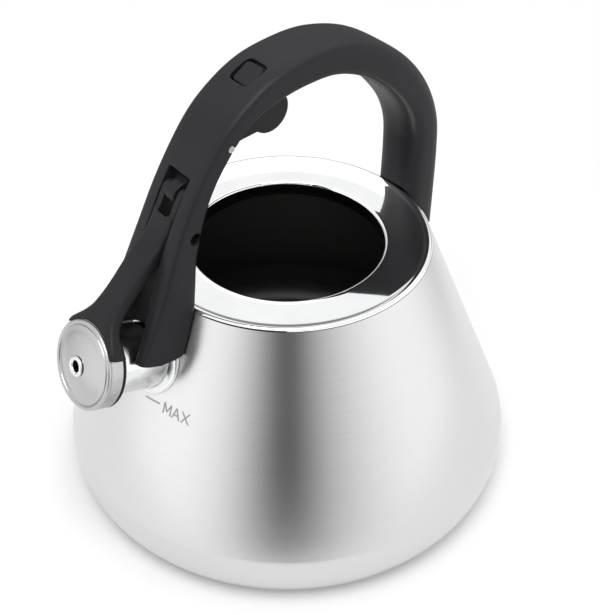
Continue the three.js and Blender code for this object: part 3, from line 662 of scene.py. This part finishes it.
def cap_seal():
    """Silicone washer on the spout's end, with a lip that shows behind the skirt."""
    back = CAP_FRONT - CAP_SKIRT
    lining = CAP_R - CAP_WALL - TOUCH
    bore = lining - SEAL_WALL
    face = SPOUT_LENGTH + TOUCH
    low = back - TOUCH - SEAL_LIP
    line = [(bore, low), (CAP_R - SKIN, low), (CAP_R - SKIN, back - TOUCH), (lining, back - TOUCH),
            (lining, face + SEAL_WALL), (SEAL_EYE_R, face + SEAL_WALL), (SEAL_EYE_R, face),
            (bore, face), (bore, low)]
    return turned("cap_gasket", soften(line, 0.35), [rubber], 128, TO_SPOUT)


def whistle_eyelet():
    seat = CAP_FRONT + CAP_DOME
    neck, deep = EYELET_R - EYELET_RIM - TOUCH, seat - 1.4
    line = [(HOLE_R, deep), (neck, deep), (neck, seat - 0.05), (EYELET_R - SKIN, seat - 0.05),
            (EYELET_R - 0.15, seat + 0.45), (EYELET_R - 0.75, seat + 0.85), (HOLE_R + 0.9, seat + 0.88),
            (HOLE_R + 0.25, seat + 0.55), (HOLE_R, seat + 0.1), (HOLE_R, deep)]
    return turned("whistle_rivet", soften(line, 0.3), [bright], 96, TO_SPOUT)


stands_for(cap_shell(), "lever", "cap_steel", "cap_shell")
stands_for(cap_seal(), "lever", "silicone", "cap_seal")
stands_for(whistle_eyelet(), "lever", "polished_steel", "whistle_eyelet")


# ---------------------------------------------------------------- handle

HANDLE = [  # stations of bar(), from the front foot over the arch to the rear foot
    (-98, 109.5, -66, 107, FOOT_W / 2, 8),
    (-87.8, 124.2, -63.3, 123.5, FOOT_W / 2 - 1, 8),
    (-79.8, 139, -61, 138, FOOT_W / 2 - 2.2, 7),
    (-71.2, 157.5, -57.8, 154.5, HANDLE_W / 2 + 1.2, 6),
    (-59.1, 180.3, -50.3, 175.6, HANDLE_W / 2 + 0.2, 6),
    (-44.8, 200.5, -40.1, 190.8, HANDLE_W / 2, 6),
    (-32.5, 211.3, -28.5, 201.9, HANDLE_W / 2, 6),
    (-17, 219.4, -13, 207.6, HANDLE_W / 2, 6),
    (1, 222.4, 1.8, 209.4, HANDLE_W / 2, 6),
    (18.2, 222.3, 16, 208.2, HANDLE_W / 2, 5),
    (36.8, 217.2, 30.6, 202.4, HANDLE_W / 2, 4.5),
    (51.9, 208.5, 43, 193.6, HANDLE_W / 2, 4),
    (65.3, 196.7, 53.3, 183, HANDLE_W / 2, 3.4),
    (76.2, 182, 61.3, 171, HANDLE_W / 2 - 0.2, 3),
    (83.5, 164.8, 65.2, 158.6, REAR_W / 2, 2.8),
    (86, 146.3, 65.6, 145.3, REAR_W / 2 - 0.4, 2.8),
    (86.6, 124, 65.2, 125.5, REAR_W / 2 - 0.5, 2.8),
    (86.6, 96, 64.4, 97, REAR_W / 2 - 0.4, 2.8),
]
SCOOP = [  # the hollow down the front foot that the lever's stem lies in
    (-107, 107, -88.5, 96.5, 17, 2.4),
    (-103, 114.5, -83.5, 104.5, 15.6, 2.4),
    (-95.5, 131, -77, 122.8, 11.8, 2.6),
    (-87.5, 145, -71.5, 137.8, 8.8, 3.2),
    (-77.8, 160.4, -61.8, 154, POCKET_W / 2, 5),
]


def handle_line(station):
    """Outer x, z and inner x, z of the handle at a station."""
    return spline([row[:4] for row in HANDLE], station / (len(HANDLE) - 1))


def in_handle(station, depth):
    """A point (x, z) of the handle's middle plane, some depth below its outer line."""
    ox, oz, ix, iz = handle_line(station)
    outer, inner = Vector((ox, oz)), Vector((ix, iz))
    return outer + (inner - outer).normalized() * depth


def thickness(station):
    ox, oz, ix, iz = handle_line(station)
    return math.hypot(ox - ix, oz - iz)


def below(station):
    return thickness(station) + THROUGH


def cover_seat(station):
    return thickness(station) - COVER_T


def band(start, end, top, bottom=below, steps=24):
    """The middle plane between two stations and two depths, which may follow the station."""
    def edge(depth, stations):
        return [tuple(in_handle(s, depth(s) if callable(depth) else depth)) for s in stations]

    along = [start + (end - start) * i / steps for i in range(steps + 1)]
    return edge(top, along) + edge(bottom, along[::-1])


BUTTON_PLACE = (Matrix.Translation((BUTTON_AT[0], 0, BUTTON_AT[1]))
                @ Matrix.Rotation(-BUTTON_TILT, 4, "Y"))


def rounded_block(length, width, low, high, corner, middle=0.0, name="cutter"):
    """A block with rounded corners, square to the lock button's face."""
    half_l, half_w = length / 2 - corner, width / 2 - corner
    outline = []
    for i, (sx, sy) in enumerate([(1, 1), (-1, 1), (-1, -1), (1, -1)]):
        outline += arc((middle + sx * half_l, sy * half_w), corner, 90 * i, 90 * (i + 1), 8)
    points, faces = loft([[BUTTON_PLACE @ Vector((x, y, z)) for x, y in outline] for z in (low, high)])
    return mesh_object(name, points, faces, [])


SLANT_RUN = (SLANT_TIP - SLANT_TOP).normalized()
SLANT_UP = Vector((-SLANT_RUN.y, SLANT_RUN.x))
UNDER_FOOT = [(-110, 118.5), (-110, 80), (-50, 80), (-50, 109.4), (-77, 108.2), (-84, 109), (-90, 111.4),
              (-96, 114.5)]
UNDER_REAR = [(50, 80), (66, 80), (66, SHOULDER_Z + BODY_GAP), (50, SHOULDER_Z + BODY_GAP)]


def under_slant(start=-3.5, reach=60):
    """What is cut away under the rear foot's slanted face."""
    corners = [(start, 0), (reach, 0), (reach, -reach), (start, -reach)]
    return [tuple(SLANT_TOP + SLANT_RUN * along + SLANT_UP * up) for along, up in corners]


def body_room(gap):
    """The body's outside with a gap round it, cut from what stands on it."""
    side = body_side(gap, SHOULDER_Z)
    high = SHOULDER_Z + gap
    mouth = [(MOUTH_R, high - MOUTH_DROP), (0, high - MOUTH_DROP)]
    return turned("cutter", [(0, FOOT_Z)] + side + [(SHOULDER_R, high)] + mouth, [], 128)


def handle_shell():
    """Hollow arch with the lever's window, the trigger's slot, the button's hole and both feet."""
    grip = bar("grip_moulding", HANDLE, 150, 72, charcoal)
    hole_l = BUTTON_L + BUTTON_GAP + BUTTON_REAR_GAP
    hole_w = BUTTON_W + 2 * BUTTON_GAP
    hole_middle = (BUTTON_REAR_GAP - BUTTON_GAP) / 2
    bore, aside = HANDLE_W / 2 - PIN_BORE_DEEP, 40
    shelf = -SHELF_DEPTH
    carve(
        grip, body_room(BODY_GAP),
        slab(band(WINDOW_FROM, WINDOW_TO, -5), POCKET_W),
        slab(band(WINDOW_TO, SLOT_TO, SLOT_SKIN), POCKET_W),
        bar("cutter", SCOOP, 30, 40, charcoal),
        slab(band(COVER_FROM + COVER_RIM, COVER_TO - COVER_RIM, SLOT_SKIN + 0.4), COVER_W - 3),
        slab(band(COVER_FROM, COVER_TO, cover_seat), COVER_W),
        rounded_block(hole_l, hole_w, shelf, 6, 2.4, hole_middle),
        rod(PIN_BORE_R, -aside, -bore, across(LEVER_PIN)),
        rod(PIN_BORE_R, bore, aside, across(LEVER_PIN)),
        rod(LEVER_PIN_R + TOUCH, -aside, aside, across(LEVER_PIN), 32),
        rod(TRIGGER_PIN_R + TOUCH, -aside, aside, across(TRIGGER_PIN), 32),
        rod(SPOUT_R + 0.8, -20, 60, TO_SPOUT),
        rod(COLLAR_R + 0.6, -20, 2.6, TO_SPOUT),
        slab(under_slant(), WIDE), slab(UNDER_REAR, WIDE), slab(UNDER_FOOT, WIDE),
    )
    join(grip, rounded_block(hole_l + 1, POCKET_W + 1, shelf - SHELF_T, shelf, 1, hole_middle))
    return moulded(grip, 0.36, 4, charcoal)


stands_for(handle_shell(), "kettle", "handle_plastic", "handle_shell")


# ---------------------------------------------------------------- lever

LEVER = [  # stations of bar(), from the front of the hood up the stem to the ears
    (-106.6, 123.4, -98.4, 119.9, 18, 6),
    (-105.6, 125.6, -98.2, 122.4, 16.4, 6),
    (-104, 128.2, -97.6, 125.4, 13.8, 5),
    (-102, 131, -96.2, 128.2, 11, 4),
    (-98.6, 134.8, -93.2, 130.8, 8.4, 4),
    (-93.6, 139.6, -89, 134.8, 7.2, 4.5),
    (-88.6, 144.2, -84.2, 139.4, 7, 5),
    (-80.5, 152.6, -75.8, 147.4, 6.9, 5),
    (-71.1, 161, -64.5, 156, 6.7, 6),
    (-65.3, 170.4, -59, 167, 6.7, 6),
]


def near_pin(pin, points):
    """Points (x, z) given from a pin."""
    return [(pin[0] + x, pin[1] + z) for x, z in points]


def spout_lever():
    """Hood over the cap, stem up the scoop, and two ears for the lever pin and the link pin."""
    ears = (arc(LINK_PIN, EAR_R, 0, 155)
            + near_pin(LEVER_PIN, [(-6.1, 6.5), (-9.7, 0.1), (-8.7, -5.9)])
            + arc(LEVER_PIN, BOSS_R, 245, 360))
    made = bar("lever_moulding", LEVER, 70, 48, lever_black)
    join(made, slab(ears, EARS_W))
    opening = near_pin(LEVER_PIN, [(-33, PLATE_TOP), (-6.2, PLATE_TOP), (-6.7, -3.9), (-3.7, -7.4),
                                   (17.3, -9.9), (17.3, 30), (-33, 30)])
    over = near_pin(LEVER_PIN, [(-33, PLATE_TOP), (-4.7, PLATE_TOP), (-4.7, 15.1), (-33, 30)])
    carve(
        made, slab(opening, EAR_GAP), slab(over, EAR_GAP),
        rod(CAP_R + TOUCH, 10, 50, TO_SPOUT, 96),
        rod(CAP_R + 12, CAP_FRONT + 0.2, 50, TO_SPOUT),
        rod(LEVER_PIN_R + PIN_PLAY, -20, 20, across(LEVER_PIN), 32),
        rod(LINK_PIN_R + TOUCH, -20, 20, across(LINK_PIN), 32),
    )
    return moulded(made, 0.28, 3, lever_black)


stands_for(spout_lever(), "lever", "lever_plastic", "spout_lever")


# ---------------------------------------------------------------- trigger and lock button

def track(path, half, steps=10):
    """A slot or arm of some half width along a path of points, with round ends."""
    path = [Vector(p) for p in path]
    last = len(path) - 1

    def run(i, j):
        return (path[j] - path[i]).normalized()

    def side(sign):
        out = []
        for i, p in enumerate(path):
            along = run(max(i - 1, 0), min(i + 1, last))
            out.append((p.x - sign * along.y * half, p.y + sign * along.x * half))
        return out

    def end(i, j):
        out_angle = math.degrees(math.atan2(*(path[i] - path[j]).yx))
        return arc(path[i], half, out_angle - 90, out_angle + 90, steps)[1:-1]

    return side(-1) + end(last, last - 1) + side(1)[::-1] + end(0, 1)


def swing(point, about, angle):
    """Turns a point (x, z) about another, positive as a right-hand turn about +Y."""
    x, z = point[0] - about[0], point[1] - about[1]
    c, s = math.cos(angle), math.sin(angle)
    return Vector((about[0] + x * c + z * s, about[1] - x * s + z * c))


def hinge_ratio():
    """Turn of the trigger for each turn of the lever, as the frame's coupling has it."""
    couplings = frame["record"]["behaviour"]["couplings"]
    return next(c["ratio"] for c in couplings if c["joint"] == "trigger_hinge")


def trigger():
    """Finger pad under the arch, with an arm whose slotted eye takes the link pin."""
    lifted = swing(LINK_PIN, LEVER_PIN, LEVER_OPEN)
    pin_path = [LINK_PIN, swing(lifted, TRIGGER_PIN, hinge_ratio() * LEVER_OPEN)]
    nose, *arm = near_pin(TRIGGER_PIN, [NOSE, (-9.6, -15.4), (-3.6, -7.2)])
    pad_top = near_pin(TRIGGER_PIN, [(33.2, 8.6), (29, 9), (22, 7.8), (10, 4.2)])
    outline = arc(TRIGGER_PIN, BOSS_R, 100, 265) + arc(nose, NOSE_R, 227, 380, 30) + pad_top
    made = slab(outline, TRIGGER_W - 2 * SKIN)
    made.name = made.data.name = "finger_trigger"
    join(made, slab(track([LINK_PIN, *arm, TRIGGER_PIN], ARM_HALF), ARM_W),
         slab(track(pin_path, ARM_EYE_HALF), ARM_EYE_W))
    carve(made, slab(track(pin_path, LINK_PIN_R + LINK_PLAY), 9),
          rod(TRIGGER_PIN_R + PIN_PLAY, -20, 20, across(TRIGGER_PIN), 32))
    return moulded(made, 0.3, 6, lever_black)


def lock_button():
    """Square key with a wider flange that keeps it in the arch."""
    top = rounded_block(BUTTON_L - 0.1, BUTTON_W - 0.1, -KEY_T, -0.05, 2, name="lock_key")
    join(top, rounded_block(BUTTON_L + 1.3, BUTTON_W + 2.3, -BUTTON_T, 0.1 - KEY_T, 1.6))
    return moulded(top, 0.2, 6, lever_black)


stands_for(trigger(), "trigger", "lever_plastic", "trigger")
stands_for(lock_button(), "button", "lever_plastic", "lock_button")


# ---------------------------------------------------------------- carried nodes

def dress(material, *names):
    """Gives CAD nodes that are shown as they are a material."""
    for name in names:
        node = frame["nodes"][name]
        node.data.materials.clear()
        node.data.materials.append(material)


dress(dull, "front_bracket", "rear_bracket", "front_screw", "rear_screw", "cover_screw_1",
      "cover_screw_2", "lever_pin", "trigger_pin", "link_pin", "lever_spring", "button_spring",
      "cap_screw")
dress(satin, "whistle_cup")
dress(cast, "heat_spreader")
dress(charcoal, "handle_cover")


# ---------------------------------------------------------------- studio

VIEW_AZIMUTH = math.radians(-39.3)
VIEW_PITCH = math.radians(40.43)
VIEW_DISTANCE = 0.55
VIEW_TARGET = Vector((0, 0, 0.08394))
VIEW_LENS = 66.75
VIEW_SHIFT = 0.0211
BACK = Vector((math.sin(VIEW_AZIMUTH) * math.cos(VIEW_PITCH),
               -math.cos(VIEW_AZIMUTH) * math.cos(VIEW_PITCH),
               math.sin(VIEW_PITCH)))
FLOOR_R = 0.31
FLOOR_DROP = 0.0003


def floor():
    """A plain pale disc of paper just below the base."""
    around = 160
    mesh = bpy.data.meshes.new("floor")
    turns = [2 * math.pi * i / around for i in range(around)]
    rim = [(FLOOR_R * math.cos(t), FLOOR_R * math.sin(t), 0) for t in turns]
    mesh.from_pydata(rim, [], [tuple(range(around))])
    made = bpy.data.objects.new("floor", mesh)
    made.location.z = -FLOOR_DROP
    bpy.context.scene.collection.objects.link(made)
    paper, tree, shader, place = new_material("floor_paper")
    cloud = noise(tree, place, (3, 3, 3), 2.0)
    tree.links.new(ramp(tree, cloud, (0.66, 0.66, 0.66), (0.68, 0.68, 0.68)), shader.inputs["Base Color"])
    shader.inputs["Roughness"].default_value = 0.9
    shader.inputs["Specular IOR Level"].default_value = 0.0
    shader.inputs["Emission Color"].default_value = (1, 1, 1, 1)
    shader.inputs["Emission Strength"].default_value = 0.1
    mesh.materials.append(paper)


def area(name, location, target, size, power):
    """A square white light that faces a target."""
    light = bpy.data.lights.new(name, "AREA")
    light.shape = "SQUARE"
    light.size = size
    light.energy = power
    made = bpy.data.objects.new(name, light)
    made.location = location
    made.rotation_mode = "QUATERNION"
    made.rotation_quaternion = (Vector(target) - Vector(location)).to_track_quat("-Z", "Y")
    bpy.context.scene.collection.objects.link(made)


WALL_STOPS = [  # degrees round from the camera's side, and brightness
    (-180, 0.2), (-155, 0.4), (-130, 0.55), (-110, 0.9), (-85, 1.35), (-55, 1.42), (-36, 1.2),
    (-22, 0.75), (-10, 0.22), (0, 0.0), (10, 0.22), (22, 0.65), (42, 1.05), (65, 1.35), (95, 1.35),
    (118, 1.0), (135, 0.65), (155, 0.45), (180, 0.2),
]
WALL_TOP, WALL_WHITE = 0.3, 0.42  # the walls fade to white between these sines of height


def surround():
    """White above and below; round the horizon a dark gap at the camera and greyer far sides."""
    world = bpy.data.worlds.new("studio")
    bpy.context.scene.world = world
    world.use_nodes = True
    tree = world.node_tree
    back = tree.nodes["Background"]
    split = tree.nodes.new("ShaderNodeSeparateXYZ")
    tree.links.new(tree.nodes.new("ShaderNodeTexCoord").outputs["Generated"], split.inputs[0])

    def maths(operation, a, b=None):
        node = tree.nodes.new("ShaderNodeMath")
        node.operation = operation
        for socket, value in zip(node.inputs, (a, b)):
            if isinstance(value, (int, float)):
                socket.default_value = value
            elif value is not None:
                tree.links.new(value, socket)
        return node.outputs[0]

    x, y, z = split.outputs
    ahead = (math.sin(VIEW_AZIMUTH), -math.cos(VIEW_AZIMUTH))
    right = (math.cos(VIEW_AZIMUTH), math.sin(VIEW_AZIMUTH))
    forward = maths("ADD", maths("MULTIPLY", x, ahead[0]), maths("MULTIPLY", y, ahead[1]))
    sideways = maths("ADD", maths("MULTIPLY", x, right[0]), maths("MULTIPLY", y, right[1]))
    turn = maths("ARCTAN2", sideways, forward)
    share = maths("ADD", maths("DIVIDE", turn, 2 * math.pi), 0.5)
    walls = tree.nodes.new("ShaderNodeValToRGB")
    walls.color_ramp.interpolation = "B_SPLINE"
    peak = max(value for _, value in WALL_STOPS)
    elements = walls.color_ramp.elements
    while len(elements) < len(WALL_STOPS):
        elements.new(0.5)
    for element, (degrees, value) in zip(elements, WALL_STOPS):
        element.position = degrees / 360 + 0.5
        element.color = (value / peak, value / peak, value / peak, 1)
    tree.links.new(share, walls.inputs["Fac"])
    rise = tree.nodes.new("ShaderNodeMapRange")
    rise.interpolation_type = "SMOOTHSTEP"
    rise.inputs["From Min"].default_value = WALL_TOP
    rise.inputs["From Max"].default_value = WALL_WHITE
    tree.links.new(maths("ABSOLUTE", z), rise.inputs["Value"])
    mix = tree.nodes.new("ShaderNodeMix")
    mix.data_type = "RGBA"
    tree.links.new(rise.outputs["Result"], mix.inputs["Factor"])
    tree.links.new(walls.outputs["Color"], mix.inputs["A"])
    mix.inputs["B"].default_value = (1 / peak, 1 / peak, 1 / peak, 1)
    tree.links.new(mix.outputs["Result"], back.inputs["Color"])
    back.inputs["Strength"].default_value = peak


def camera():
    data = bpy.data.cameras.new("camera")
    made = bpy.data.objects.new("camera", data)
    bpy.context.scene.collection.objects.link(made)
    made.location = VIEW_TARGET + BACK * VIEW_DISTANCE
    made.rotation_mode = "QUATERNION"
    made.rotation_quaternion = (-BACK).to_track_quat("-Z", "Y")
    data.lens = VIEW_LENS
    data.sensor_width = 36
    data.shift_x = VIEW_SHIFT
    data.clip_start, data.clip_end = 0.01, 20
    bpy.context.scene.camera = made


floor()
surround()
area("key_light", (-0.3, -0.3, 1.3), (0, 0, 0.12), size=0.7, power=10.0)
area("top_light", (0.5, 0.4, 1.2), (0, 0, 0.12), size=0.8, power=0.8)
camera()
bpy.context.scene.view_settings.view_transform = "Standard"
